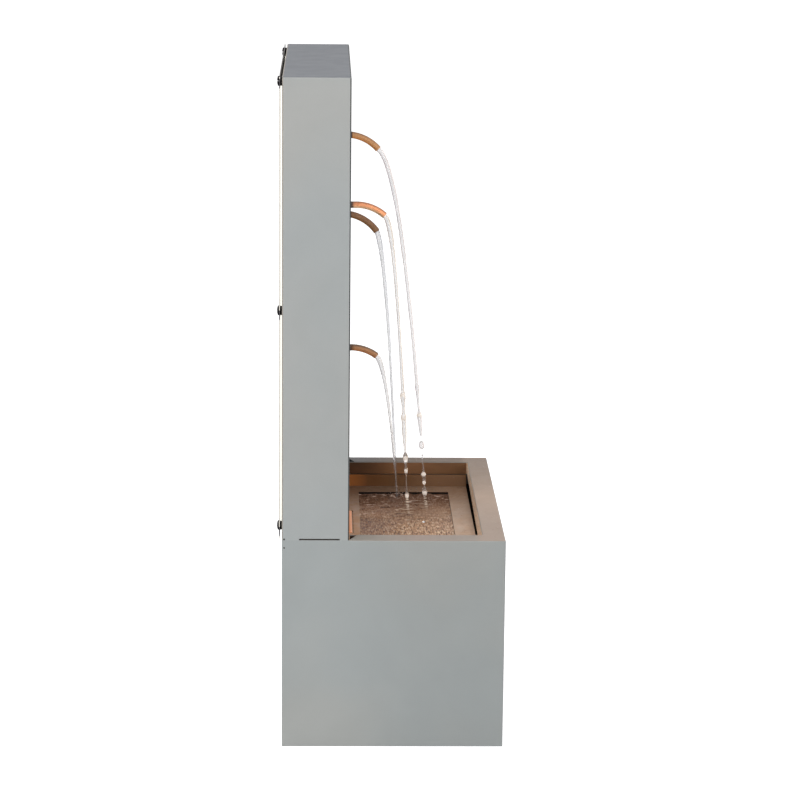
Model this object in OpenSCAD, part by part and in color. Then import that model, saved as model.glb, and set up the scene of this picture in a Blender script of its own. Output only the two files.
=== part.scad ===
// Column fountain: a folded sheet-metal basin carries a flat tower of the same width.
// A submersible pump lifts water to a manifold in the tower, and four bent copper spouts
// pour it back through the window of a lift-out splash tray.
// Frame: +X is the fountain's left-to-right width, -Y is its front, +Z is up.
// The origin is the centre of the basin's footprint on the floor. All sizes are millimetres.

/* [Basin] */
// Width of the basin and of the tower
basin_w = 406; // [330:1:500]
// Depth of the basin, front to back
basin_d = 254; // [220:1:320]
// Height of the rim above the floor
basin_h = 245; // [190:1:320]
// Thickness of the folded sheet
sheet_t = 1.2; // [0.8:0.1:2]
// Outside radius of the sheet's bends
bend_r = 1.8; // [1.2:0.1:3]
// Thickness of the welded floor plate
floor_t = 1.5; // [1:0.1:3]
// Width of the rim flange that folds inwards
rim_w = 25.5; // [18:0.5:32]
// Height of the lip that hangs from the side flanges
side_lip_h = 15.5; // [10:0.5:22]
// Height of the front flange's lip at its left end
front_lip_left = 30; // [12:0.5:31]
// Height of the front flange's lip at its right end
front_lip_right = 17; // [12:0.5:31]
// Gap between the free ends of the side lips and the tower
lip_gap = 1; // [0.5:0.1:3]
// Width of the hidden seat flange under the tower
seat_w = 14; // [10:0.5:18]
// Length of the slanted relief where the side flange meets the tower
relief_l = 10; // [4:0.5:16]

/* [Tower] */
// Overall height of the fountain
tower_top = 768; // [700:1:900]
// Depth of the tower, front to back
tower_d = 76; // [68:0.5:96]
// Width of the tower's rear flanges at its sides
return_w = 40; // [37:0.5:46]
// Height of the tower's rear flanges at its top and foot
return_h = 16; // [14:0.5:20]
// Lowest point of the skirt that runs down inside the basin
skirt_bottom = 200; // [170:1:215]
// Length of the unwelded slot at each side of the tower's foot
slot_l = 46; // [30:1:52]
// Distance of that slot from the tower's back
slot_back = 19.5; // [8:0.5:24]
// Height of that slot
slot_h = 1.7; // [1:0.1:2.5]

/* [Access panel] */
// Thickness of the panel
panel_t = 0.9; // [0.7:0.1:1.5]
// Gap between the tower's back and the panel
panel_gap = 2.3; // [1.5:0.1:4]
// Distance that the panel stays inside the tower's outline
panel_inset = 0.5; // [0:0.1:2]
// Distance of the screws from the tower's sides
screw_side = 30; // [26:0.5:32]
// Distance of the end screws from the tower's top
screw_top = 7.5; // [6.5:0.1:9]
// Height of the lowest screws above the rim
screw_low = 10; // [7:0.5:11]
// Distance of the middle screws below the middle of the others
screw_drop = 4.2; // [0:0.1:20]
// Radius of the screw heads
head_r = 5.5; // [4:0.1:5.9]
// Height of the screw heads
head_h = 2.8; // [2.2:0.1:3.4]
// Radius of the screw shanks
shank_r = 2.5; // [2:0.1:2.8]
// Width of the foam seal strips
seal_w = 5; // [3:0.5:6]

/* [Splash tray] */
// Thickness of the tray's plate
tray_t = 1.2; // [0.8:0.1:2]
// Gap between the tray and what surrounds it, on every side
tray_clear = 0.5; // [0.3:0.1:1]
// Distance from the rim down to the tray's top
tray_drop = 31.5; // [28:0.5:36]
// Width of the tray's side borders, beside the window
tray_side = 29; // [24:0.5:40]
// Width of the tray's front border
tray_front = 24; // [18:0.5:40]
// Width of the tray's rear border
tray_rear = 14; // [12:0.5:24]
// Depth of the hem round the window
hem_h = 4; // [2:0.5:6]
// Width of the ledges that carry the tray
ledge_w = 43; // [38:0.5:46]

/* [Spouts] */
// Outside radius of the copper tubes
tube_r = 4; // [3:0.1:4.5]
// Wall of the copper tubes
tube_wall = 0.8; // [0.5:0.1:1]
// Centre-line radius of the tubes' bends
bend_tube_r = 52; // [44:1:64]
// Distance of the middle of the spout group from the fountain's centre
spout_x = 130; // [60:1:140]
// How far each spout stands to the side of that middle
spout_step = 5.5; // [5:0.5:7]
// Length of each straight tail inside the tower
tail_l = 16; // [14:0.5:20]
// Radial clearance of every round fit
fit = 0.05; // [0.02:0.01:0.1]

/* [Light bar] */
// Length of the light bar
light_l = 104; // [80:1:160]
// Depth of the light bar, front to back
light_d = 6.3; // [5:0.1:8]
// Height of the light bar's channel
light_h = 9.5; // [8:0.5:14]

/* [Pump] */
// Distance of the pump from the fountain's centre
pump_x = 30; // [0:1:60]
// Width and height of the pump's body
pump_w = 50; // [46:1:58]
// Length of the pump's body
pump_l = 62; // [58:1:64]
// Height of the suction feet
foot_h = 7; // [5:0.5:10]
// Radius of the rotor's magnet
magnet_r = 9.5; // [8:0.1:11]
// Radius of the impeller
impeller_r = 14; // [12:0.5:15]
// Number of impeller vanes
vane_count = 6; // [4:1:8]
// Radius of the rotor shaft
shaft_r = 1.5; // [1.2:0.1:2]

/* [Hoses] */
// Bore radius of the riser hose
riser_bore_r = 6; // [5:0.5:7]
// Wall of the hoses
hose_wall = 2; // [1.5:0.1:2.5]
// Centre-line radius of the riser's two bends
riser_bend_r = 60; // [45:1:80]
// Least angle by which the riser leans between its bends
riser_lean = 40; // [25:1:55]
// Outside radius of the manifold pipe
pipe_r = 12; // [11:0.5:14]

/* [Hidden] */
$fn = 48;

e = 0.5; // overrun of a cut past the face it opens
half_w = basin_w / 2;
front_y = -basin_d / 2;
back_y = basin_d / 2;
tower_y = back_y - tower_d; // the tower's front face
wall_in_x = half_w - sheet_t;

// Rim opening, inside the lips
open_x = half_w - rim_w;
open_front_y = front_y + rim_w;

// Tray
tray_top = basin_h - tray_drop;
tray_low = tray_top - tray_t;
tray_x = open_x - tray_clear;
tray_front_y = open_front_y + 3 * tray_clear;
tray_rear_y = tower_y - 1.6 * tray_clear;
window_x = tray_x - tray_side;
window_front_y = tray_front_y + tray_front;
window_rear_y = tray_rear_y - tray_rear;
upstand_top = basin_h - side_lip_h - 0.8;

// Panel screws: both sides, three heights
screw_x = half_w - screw_side;
screw_zs = [basin_h + screw_low,
  (basin_h + screw_low + tower_top - screw_top) / 2 - screw_drop, tower_top - screw_top];
spacer_r = head_r - 0.2;
nut_r = 3.9;
nut_l = 4;
panel_y = back_y + panel_gap;

// Spouts: [depth of the axis at the tower's face below its top, side of the group,
//          slope of the tail, slope at the mouth, straight length before the bend]
SPOUTS = [
  [103.5, 1, 8, 48.5, 4],
  [188, -1, 0, 41.5, 9.5],
  [201, 1, 12, 54.5, 3.2],
  [365.3, -1, 0, 37, 4.1]];
function spout_px(i) = spout_x + SPOUTS[i][1] * spout_step;
function spout_pz(i) = tower_top - SPOUTS[i][0];
grommet_r = tube_r + 2.6;
grommet_hole_r = tube_r + 1.4;

// Branch hoses and manifold
branch_bore_r = tube_r + fit;
branch_wall = 1.4;
grip_l = 9; // length of hose on a tail or a barb
branch_bend_r = 30;
branch_gap = 1.5; // straight hose past the tail's end
lap = 0.3; // run of a hose's straight lengths into its bends
lap_step = 0.02; // extra wall of those lengths, inside and out
barb_l = 12;
pipe_wall = 1.8;
pipe_y = tower_y + tail_l + 6 + barb_l + pipe_r;
pipe_bottom = spout_pz(3) - 32;
pipe_cap_z = spout_pz(0) + 30;
// Height at which a branch hose meets its barb
function barb_z(i) = spout_pz(i) + (tail_l + branch_gap) * sin(SPOUTS[i][2])
  + branch_bend_r * (1 - cos(SPOUTS[i][2]));

// Pump, built round the rotor's axis, which runs along Y
pump_z = floor_t + foot_h + pump_w / 2; // the rotor's axis
pump_back_y = back_y - sheet_t - 8;
pump_front_y = pump_back_y - pump_l;
pump_y = pump_front_y + 12; // back of the volute chamber
chamber_r = impeller_r + 3;
eye_r = 9.5;
strainer_l = 20;
strainer_wall = 1.8;
dial_r = 8;
dial_h = 5;
outlet_x = pump_x + chamber_r - 4.5;
outlet_y = pump_front_y + 8;
outlet_bore_r = 4.5;
outlet_top = floor_t + foot_h + pump_w + 22;

// Riser hose: an S in the upright plane through the outlet and the manifold's inlet
riser_r = riser_bore_r + hose_wall;
run_x = spout_x - outlet_x;
run_y = pipe_y - outlet_y;
riser_run = sqrt(run_x * run_x + run_y * run_y);
riser_turn = atan2(run_y, run_x);
riser_foot = outlet_top - 16; // lower end of the hose, on the outlet
riser_grip = 14; // length of hose on the manifold's inlet
riser_head = pipe_bottom - 4; // upper end of the hose, below the pipe's shoulder
// Between the outlet and the inlet the hose leans over further where the tower leaves it less height
riser_room = riser_head - riser_grip - 6 - outlet_top - 2;
riser_reach = 4 * riser_bend_r - riser_run;
riser_fold = sqrt(max(0, riser_room * riser_room - riser_reach * riser_run));
riser_angle = max(riser_lean, 2 * atan((riser_room - riser_fold) / riser_reach));
riser_slant = (riser_run - 2 * riser_bend_r * (1 - cos(riser_angle))) / sin(riser_angle);
riser_rise = 2 * riser_bend_r * sin(riser_angle) + riser_slant * cos(riser_angle);
riser_start = riser_head - riser_grip - 6 - riser_rise; // where the first bend begins

// Light bar
light_y = tower_y - light_d;
light_low = tray_top - 1 - light_h;
ear_l = 8;

cord_x = -60;
cord_z = (tray_low + basin_h - sheet_t) / 2 - 1;
cord_bore_r = 3.5;

sheet_grey = [0.66, 0.69, 0.68];
warm_grey = [0.62, 0.55, 0.48];
copper = [0.82, 0.52, 0.34];
black_rubber = [0.08, 0.08, 0.08];
clear_vinyl = [0.85, 0.88, 0.9, 0.5];
pump_black = [0.12, 0.12, 0.13];

// Bar that rounds an edge: it runs along +X from x0 to x1 and cuts the +Y +Z corner
module edge_bar(x0, x1, r) {
  difference() {
    translate([x0, 0, 0]) cube([x1 - x0, r + e, r + e]);
    translate([x0 - e, 0, 0]) rotate([0, 90, 0]) cylinder(r = r, h = x1 - x0 + 2 * e);
  }
}

// Round bar or bore along +Y from y0
module bar_y(x, y0, z, r, len) {
  translate([x, y0, z]) rotate([-90, 0, 0]) cylinder(r = r, h = len);
}

// Ring along +Z
module ring(r_out, r_in, h) {
  difference() {
    cylinder(r = r_out, h = h);
    translate([0, 0, -e]) cylinder(r = r_in, h = h + 2 * e);
  }
}

// Plate with rounded corners, centred on X and Y
module round_plate(w, d, r, h) {
  linear_extrude(h) {
    square([w - 2 * r, d], center = true);
    square([w, d - 2 * r], center = true);
    for (x = [-1, 1], y = [-1, 1]) translate([x * (w / 2 - r), y * (d / 2 - r)]) circle(r = r);
  }
}

// ---------------------------------------------------------------- sheet metal

module basin_shell() {
  color(sheet_grey)
  difference() {
    union() {
      difference() {
        basin_block();
        translate([-wall_in_x, front_y + sheet_t, -e])
          cube([2 * wall_in_x, basin_d - 2 * sheet_t, basin_h - sheet_t + e]);
        // opening inside the rim
        translate([-open_x, open_front_y, basin_h - 2 * sheet_t])
          cube([2 * open_x, tower_y - open_front_y + e, 3 * sheet_t]);
        // opening under the tower, inside the seat flanges
        translate([-(half_w - seat_w), tower_y, basin_h - 2 * sheet_t])
          cube([basin_w - 2 * seat_w, tower_d - seat_w, 3 * sheet_t]);
        rim_reliefs();
      }
      rim_lips();
    }
    lip_edge_rounds();
    bar_y(cord_x, back_y - 2 * sheet_t, cord_z, cord_bore_r + 2, 4 * sheet_t);
  }
}

// Outline of the basin: bends at its four corners and along the rim in front of the tower
module basin_block() {
  difference() {
    difference() {
      translate([-half_w, front_y, 0]) cube([basin_w, basin_d, basin_h]);
      upright_corner_rounds(front_y, -1, 0, basin_h);
      upright_corner_rounds(back_y, 1, 0, basin_h);
    }
    translate([-half_w, front_y + bend_r, basin_h - bend_r])
      mirror([0, 1, 0]) edge_bar(-e, basin_w + e, bend_r);
    for (s = [0, 1]) mirror([s, 0, 0])
      translate([half_w - bend_r, front_y, basin_h - bend_r])
        rotate([0, 0, 90]) mirror([0, 1, 0]) edge_bar(-e, tower_y - front_y, bend_r);
  }
}

// Slanted cuts in the side flanges beside the tower
module rim_reliefs() {
  for (s = [-1, 1])
    translate([0, 0, basin_h - 2 * sheet_t]) linear_extrude(3 * sheet_t)
      polygon([[s * (open_x - e), tower_y - relief_l], [s * open_x, tower_y - relief_l],
        [s * (wall_in_x - 0.2), tower_y], [s * (open_x - e), tower_y]]);
}

// The side lips run on past the reliefs; the front lip is cut at a slant
module rim_lips() {
  for (s = [-1, 1])
    translate([s > 0 ? open_x : -open_x - sheet_t, open_front_y - sheet_t, basin_h - side_lip_h])
      cube([sheet_t, tower_y - lip_gap - open_front_y + sheet_t, side_lip_h - sheet_t / 2]);
  lip_x = open_x + sheet_t;
  translate([0, open_front_y, basin_h]) rotate([90, 0, 0]) linear_extrude(sheet_t)
    polygon([[-lip_x, -sheet_t / 2], [-lip_x, -front_lip_left], [lip_x, -front_lip_right],
      [lip_x, -sheet_t / 2]]);
}

// Bends along the top of the lips
module lip_edge_rounds() {
  for (s = [0, 1]) mirror([s, 0, 0])
    translate([open_x + sheet_t, open_front_y, basin_h - sheet_t])
      rotate([0, 0, 90]) edge_bar(0, tower_y - relief_l - open_front_y, sheet_t);
  translate([-open_x, open_front_y - sheet_t, basin_h - sheet_t]) edge_bar(0, 2 * open_x, sheet_t);
}

// Bends at the two upright corners of one face
module upright_corner_rounds(y_edge, dir, z0, z1) {
  for (s = [0, 1]) mirror([s, 0, 0])
    translate([half_w - bend_r, y_edge - dir * bend_r, z0]) mirror([0, dir < 0 ? 1 : 0, 0])
      difference() {
        translate([0, 0, -e]) cube([bend_r + e, bend_r + e, z1 - z0 + 2 * e]);
        translate([0, 0, -2 * e]) cylinder(r = bend_r, h = z1 - z0 + 4 * e);
      }
}

module basin_floor() {
  color(sheet_grey)
  translate([-wall_in_x, front_y + sheet_t, 0])
    cube([2 * wall_in_x, basin_d - 2 * sheet_t, floor_t]);
}

// Angle ledges welded to the side walls: they carry the tray
module tray_ledges() {
  ledge_front = open_front_y + 6;
  ledge_len = tower_y - 6 - ledge_front;
  color(warm_grey)
  for (s = [0, 1]) mirror([s, 0, 0])
    translate([wall_in_x, ledge_front, tray_low]) rotate([-90, 0, 0]) linear_extrude(ledge_len)
      difference() {
        translate([-ledge_w, 0]) square([ledge_w, 21]);
        translate([-ledge_w - e, floor_t]) square([ledge_w + e - floor_t - 2, 21 + e]);
        translate([-floor_t - 2 - e, floor_t + 2]) square([2 + e, 21]);
        translate([-floor_t - 2, floor_t + 2]) circle(r = 2);
      }
}

module tower_shell() {
  tower_h = tower_top - basin_h;
  color(sheet_grey)
  difference() {
    union() {
      difference() {
        translate([-half_w, tower_y, basin_h]) cube([basin_w, tower_d, tower_h]);
        translate([-wall_in_x, tower_y + sheet_t, basin_h - e])
          cube([2 * wall_in_x, tower_d - 2 * sheet_t, tower_h - sheet_t + e]);
        // open back, inside the return flanges
        translate([-(half_w - return_w), back_y - 2 * sheet_t, basin_h + return_h])
          cube([basin_w - 2 * return_w, 3 * sheet_t, tower_h - 2 * return_h]);
        // unwelded slots at the foot
        for (s = [-1, 1])
          translate([s * half_w - 2 * sheet_t, back_y - slot_back - slot_l, basin_h - e])
            cube([4 * sheet_t, slot_l, slot_h + e]);
      }
      // skirt that runs down inside the basin
      translate([-(half_w - seat_w - 4), tower_y, skirt_bottom])
        cube([basin_w - 2 * seat_w - 8, sheet_t, basin_h - skirt_bottom]);
    }
    upright_corner_rounds(tower_y, -1, basin_h, tower_top);
    upright_corner_rounds(back_y, 1, basin_h, tower_top);
    tower_top_rounds();
    for (i = [0 : 3]) bar_y(spout_px(i), tower_y - e, spout_pz(i), grommet_hole_r, sheet_t + 2 * e);
    for (s = [-1, 1], z = screw_zs)
      bar_y(s * screw_x, back_y - sheet_t - e, z, shank_r + 0.6, sheet_t + 2 * e);
    for (s = [-1, 1])
      bar_y(s * (light_l + ear_l) / 2, tower_y - e, light_low + light_h / 2 - 1, 1.6, sheet_t + 2 * e);
  }
}

module tower_top_rounds() {
  translate([-half_w, tower_y + bend_r, tower_top - bend_r])
    mirror([0, 1, 0]) edge_bar(-e, basin_w + e, bend_r);
  translate([-half_w, back_y - bend_r, tower_top - bend_r]) edge_bar(-e, basin_w + e, bend_r);
  for (s = [0, 1]) mirror([s, 0, 0])
    translate([half_w - bend_r, tower_y, tower_top - bend_r])
      rotate([0, 0, 90]) mirror([0, 1, 0]) edge_bar(-e, tower_d + e, bend_r);
}

module rear_panel() {
  color(sheet_grey)
  difference() {
    translate([-half_w + panel_inset, panel_y, basin_h + panel_inset])
      cube([basin_w - 2 * panel_inset, panel_t, tower_top - basin_h - 2 * panel_inset]);
    for (s = [-1, 1], z = screw_zs) bar_y(s * screw_x, panel_y - e, z, shank_r + 0.4, panel_t + 2 * e);
  }
}

// ---------------------------------------------------------------- fasteners of the panel

// Pan-head screw: its head stands at the origin towards +Z, its shank runs towards -Z
module pan_screw(len) {
  difference() {
    intersection() {
      cylinder(r = head_r, h = head_h);
      translate([0, 0, head_h - 2.8 * head_r]) sphere(r = 2.8 * head_r, $fn = 64);
    }
    translate([-head_r - e, -0.7, head_h - 1.8]) cube([2 * (head_r + e), 1.4, 2]);
  }
  translate([0, 0, -len]) cylinder(r = shank_r, h = len);
}

module panel_screws() {
  color(black_rubber)
  for (s = [-1, 1], z = screw_zs)
    translate([s * screw_x, panel_y + panel_t, z]) rotate([-90, 0, 0])
      pan_screw(panel_t + panel_gap + sheet_t + nut_l + 2);
}

module panel_spacers() {
  color(black_rubber)
  for (s = [-1, 1], z = screw_zs)
    translate([s * screw_x, back_y, z]) rotate([-90, 0, 0]) ring(spacer_r, shank_r + 0.1, panel_gap);
}

// Foam strips in line with the screws, from spacer to spacer
module panel_seals() {
  color([0.96, 0.95, 0.86])
  for (s = [-1, 1], i = [0, 1])
    translate([s * screw_x - seal_w / 2, back_y, screw_zs[i] + spacer_r + 0.3])
      cube([seal_w, panel_gap, screw_zs[i + 1] - screw_zs[i] - 2 * spacer_r - 0.6]);
}

// Clinch nuts: each sits behind the return flange, with its pilot in the flange's hole
module clinch_nuts() {
  color([0.75, 0.75, 0.72])
  for (s = [-1, 1], z = screw_zs)
    translate([s * screw_x, back_y - sheet_t - nut_l, z]) rotate([-90, 0, 0])
      difference() {
        union() {
          cylinder(r = nut_r, h = nut_l);
          cylinder(r = shank_r + 0.6 - fit, h = nut_l + sheet_t);
        }
        translate([0, 0, -e]) cylinder(r = shank_r + fit, h = nut_l + sheet_t + 2 * e);
      }
}

// ---------------------------------------------------------------- splash tray

module splash_tray() {
  color(warm_grey)
  difference() {
    union() {
      translate([-tray_x, tray_front_y, tray_low]) cube([2 * tray_x, tray_rear_y - tray_front_y, tray_t]);
      for (s = [0, 1]) mirror([s, 0, 0])
        translate([tray_x - tray_t, tray_front_y, tray_low])
          cube([tray_t, tray_rear_y - tray_front_y, upstand_top - tray_low]);
      // hem round the window
      translate([-window_x - tray_t, window_front_y - tray_t, tray_low - hem_h])
        cube([2 * (window_x + tray_t), window_rear_y - window_front_y + 2 * tray_t, hem_h]);
    }
    translate([-window_x, window_front_y, tray_low - hem_h - e])
      cube([2 * window_x, window_rear_y - window_front_y, hem_h + tray_t + 2 * e]);
    // notch for the light bar
    translate([-light_l / 2 - 2 * tray_clear, light_y - tray_clear, tray_low - e])
      cube([light_l + 4 * tray_clear, light_d + e, tray_t + 2 * e]);
  }
}

// ---------------------------------------------------------------- spouts and their plumbing

// Straight tube along +Y from y0
module tube_y(y0, z, r_out, r_in, len) {
  translate([0, y0, z]) rotate([-90, 0, 0]) linear_extrude(len) annulus(r_out, r_in);
}

module annulus(r_out, r_in) {
  difference() {
    circle(r = r_out);
    circle(r = r_in);
  }
}

// Tube bent about the origin: from straight above it, forwards and down by an angle
module bend_down(bend, angle, r_out, r_in) {
  rotate([0, -90, 180]) rotate_extrude(angle = angle) translate([bend, 0]) annulus(r_out, r_in);
}

// Spout: a straight tail through the grommet, then one bend down to a square-cut mouth
module spout(i) {
  s = SPOUTS[i];
  color(copper)
  translate([spout_px(i), tower_y, spout_pz(i)]) rotate([s[2], 0, 0]) union() {
    tube_y(-s[4], 0, tube_r, tube_r - tube_wall, s[4] + tail_l);
    translate([0, -s[4], -bend_tube_r]) bend_down(bend_tube_r, s[3] - s[2], tube_r, tube_r - tube_wall);
  }
}

module spout_1() { spout(0); }
module spout_2() { spout(1); }
module spout_3() { spout(2); }
module spout_4() { spout(3); }

// Grommets grip the tower's sheet between two flanges, bored along each spout's tail
module spout_grommets() {
  color(black_rubber)
  for (i = [0 : 3])
    translate([spout_px(i), tower_y, spout_pz(i)])
      difference() {
        rotate([90, 0, 0]) union() {
          translate([0, 0, -sheet_t]) cylinder(r = grommet_hole_r - fit, h = sheet_t);
          cylinder(r = grommet_r, h = 1.6);
          translate([0, 0, -sheet_t - 1.8]) cylinder(r = grommet_r, h = 1.8);
        }
        rotate([SPOUTS[i][2], 0, 0]) bar_y(0, -8, 0, tube_r + fit, 16);
      }
}

// Manifold: a capped upright pipe with a barb for each spout and an inlet below
module manifold() {
  color([0.9, 0.9, 0.88])
  difference() {
    union() {
      translate([spout_x, pipe_y, pipe_bottom]) cylinder(r = pipe_r, h = pipe_cap_z - pipe_bottom);
      translate([spout_x, pipe_y, pipe_cap_z - 12]) cylinder(r = pipe_r + 1.6, h = 14);
      translate([spout_x, pipe_y, riser_head - riser_grip])
        cylinder(r = riser_bore_r - fit, h = pipe_bottom - riser_head + riser_grip + e);
      for (i = [0 : 3]) barb(i, tube_r, 0);
    }
    translate([spout_x, pipe_y, pipe_bottom + 3])
      cylinder(r = pipe_r - pipe_wall, h = pipe_cap_z - pipe_bottom - 5);
    translate([spout_x, pipe_y, riser_head - riser_grip - e])
      cylinder(r = riser_bore_r - 1.5, h = pipe_bottom - riser_head + riser_grip + 4);
    for (i = [0 : 3]) barb(i, tube_r - 1.2, e);
  }
}

// One barb, square to the pipe's front and in line with its spout
module barb(i, r, over) {
  y0 = pipe_y - pipe_r - barb_l;
  bar_y(spout_px(i), y0 - over, barb_z(i), r, pipe_y - y0 + over);
}

// Stand-off clips: a foot on the tower's front wall, a web and a ring round the pipe
module manifold_clips() {
  foot_y = tower_y + sheet_t;
  color([0.85, 0.85, 0.83])
  for (z = [pipe_bottom + 52, pipe_cap_z - 62])
    difference() {
      union() {
        translate([spout_x - 14, foot_y, z - 9]) cube([28, 2.5, 18]);
        translate([spout_x - 2, foot_y + 1, z - 6]) cube([4, pipe_y - foot_y - pipe_r, 12]);
        translate([spout_x, pipe_y, z - 6]) cylinder(r = pipe_r + 2.4, h = 12);
      }
      translate([spout_x, pipe_y, z - 6 - e]) cylinder(r = pipe_r + fit, h = 12 + 2 * e);
      // mouth of the ring, at the back
      translate([spout_x - 5.5, pipe_y + pipe_r - 4, z - 6 - e]) cube([11, 10, 12 + 2 * e]);
    }
}

// One branch hose: along the tail, round a slight bend, then straight onto the barb
module branch_hose(i) {
  slope = SPOUTS[i][2];
  r_in = branch_bore_r;
  r_out = r_in + branch_wall;
  rotate([slope, 0, 0])
    tube_y(tail_l - grip_l, 0, r_out + lap_step, r_in - lap_step, grip_l + branch_gap + lap);
  end_y = (tail_l + branch_gap) * cos(slope) + branch_bend_r * sin(slope);
  end_z = barb_z(i) - spout_pz(i);
  if (slope > 0)
    translate([0, end_y, end_z - branch_bend_r]) bend_down(branch_bend_r, slope, r_out, r_in);
  tube_y(end_y - lap, end_z, r_out + lap_step, r_in - lap_step,
    pipe_y - pipe_r - barb_l + grip_l - tower_y - end_y + lap);
}

module branch_hoses() {
  color(clear_vinyl)
  for (i = [0 : 3])
    translate([spout_px(i), tower_y, spout_pz(i)]) union() branch_hose(i);
}

// Riser hose: up from the pump's outlet, over to the side and up onto the manifold's inlet
module riser_hose() {
  color(clear_vinyl)
  translate([outlet_x, outlet_y, riser_start]) rotate([0, 0, riser_turn]) union() {
    riser_length(riser_foot - riser_start, lap);
    riser_arc();
    translate([riser_bend_r * (1 - cos(riser_angle)), 0, riser_bend_r * sin(riser_angle)])
      rotate([0, riser_angle, 0]) riser_length(-lap, riser_slant + lap);
    translate([riser_run, 0, riser_rise]) rotate([0, 180, 0]) riser_arc();
    translate([riser_run, 0, riser_rise]) riser_length(-lap, riser_head - riser_start - riser_rise);
  }
}

module riser_length(z0, z1) {
  translate([0, 0, z0]) linear_extrude(z1 - z0) annulus(riser_r + lap_step, riser_bore_r - lap_step);
}

// A bend that starts upwards at the origin and leans towards +X
module riser_arc() {
  translate([riser_bend_r, 0, 0]) rotate([90, 0, 180])
    rotate_extrude(angle = riser_angle) translate([riser_bend_r, 0]) annulus(riser_r, riser_bore_r);
}

// Wire clamps round both ends of the riser
module hose_clamps() {
  color([0.7, 0.7, 0.7])
  for (p = [[outlet_x, outlet_y, riser_foot + 4], [spout_x, pipe_y, riser_head - 10]])
    translate(p) {
      ring(riser_r + 1.2, riser_r + lap_step + fit, 5);
      translate([riser_r + 0.3, -3, 0]) cube([6, 6, 5]);
    }
}

// ---------------------------------------------------------------- light bar

module light_housing() {
  color([0.7, 0.71, 0.72])
  difference() {
    union() {
      translate([-light_l / 2, light_y, light_low]) cube([light_l, light_d, light_h]);
      translate([-light_l / 2 - ear_l, tower_y - 1.5, light_low])
        cube([light_l + 2 * ear_l, 1.5, light_h - 2]);
    }
    translate([-light_l / 2 + 1.2, light_y + 1, light_low + 1]) cube([light_l - 2.4, light_d - 2, light_h]);
    for (s = [-1, 1])
      bar_y(s * (light_l + ear_l) / 2, tower_y - 1.5 - e, light_low + light_h / 2 - 1, 1.6, 1.5 + 2 * e);
  }
}

module light_leds() {
  led_count = 8;
  pitch = (light_l - 10) / led_count;
  color([0.95, 0.85, 0.5])
  union() {
    translate([-light_l / 2 + 3, light_y + 1, light_low + 1]) cube([light_l - 6, light_d - 2, 1]);
    for (i = [0 : led_count - 1])
      translate([(i - (led_count - 1) / 2) * pitch - 1.4, light_y + light_d / 2 - 1.4, light_low + 1.5])
        cube([2.8, 2.8, 1.3]);
  }
}

// Lens: a bar with a rounded top that closes the channel
module light_lens() {
  lens_d = light_d - 2;
  color([1, 0.75, 0.5, 0.7])
  translate([-light_l / 2 + 1.2, light_y + 1 + lens_d / 2, light_low + 4.5])
    rotate([90, 0, 90]) linear_extrude(light_l - 2.4) {
      translate([-lens_d / 2, 0]) square([lens_d, light_h - 4.5]);
      intersection() {
        translate([0, light_h - 4.5 + 1.5 - lens_d]) circle(r = lens_d);
        translate([-lens_d / 2, light_h - 5]) square([lens_d, 4]);
      }
    }
}

module light_screws() {
  color([0.75, 0.75, 0.75])
  for (s = [-1, 1])
    translate([s * (light_l + ear_l) / 2, tower_y - 1.5, light_low + light_h / 2 - 1]) rotate([90, 0, 0]) {
      cylinder(r = 2.8, h = 1.4);
      translate([0, 0, -7]) cylinder(r = 1.5, h = 7);
    }
}

// ---------------------------------------------------------------- pump

// Body: a block with rounded corners, the volute chamber in front and the rotor's well behind it
module pump_housing() {
  low = floor_t + foot_h;
  color(pump_black)
  difference() {
    union() {
      translate([pump_x, pump_back_y, pump_z]) rotate([90, 0, 0]) round_plate(pump_w, pump_w, 7, pump_l);
      // cooling ribs along the flanks
      for (s = [-1, 1], k = [-2 : 2])
        translate([pump_x + s * pump_w / 2 - 1.2, pump_front_y + 18, pump_z + 6 * k - 1])
          cube([2.4, pump_l - 26, 2]);
      translate([outlet_x, outlet_y, pump_z]) cylinder(r = riser_bore_r - fit, h = outlet_top - pump_z);
      // shoulder of the outlet
      translate([outlet_x, outlet_y, low + pump_w - 1]) cylinder(r = riser_r, h = 6);
    }
    bar_y(pump_x, pump_front_y - e, pump_z, chamber_r, pump_y - pump_front_y + e);
    volute_cut();
    bar_y(pump_x, pump_front_y - e, pump_z, chamber_r + 4, 3 + e);
    bar_y(pump_x, pump_y - e, pump_z, magnet_r + 0.8, 36 + e);
    bar_y(pump_x, pump_y + 36 - e, pump_z, shaft_r + 1.5, 6 + e);
    translate([outlet_x, outlet_y, pump_z]) cylinder(r = outlet_bore_r, h = outlet_top - pump_z + e);
    for (x = [-1, 1], y = [0, 1])
      translate([pump_x + x * (pump_w / 2 - 9), pump_front_y + 9 + y * (pump_l - 18), low - e])
        cylinder(r = 2.5 + fit, h = 5 + e);
  }
}

// Spiral that widens the chamber in three steps towards the outlet
module volute_cut() {
  for (k = [1 : 3])
    rotate_about_axis(90 + 90 * k)
      bar_y(pump_x + 1.2 * k, pump_front_y + 3, pump_z, chamber_r - 0.4 * k, pump_y - pump_front_y - 3);
}

// Turns its children about the rotor's axis
module rotate_about_axis(angle) {
  translate([pump_x, 0, pump_z]) rotate([0, -angle, 0]) translate([-pump_x, 0, -pump_z]) children();
}

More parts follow.
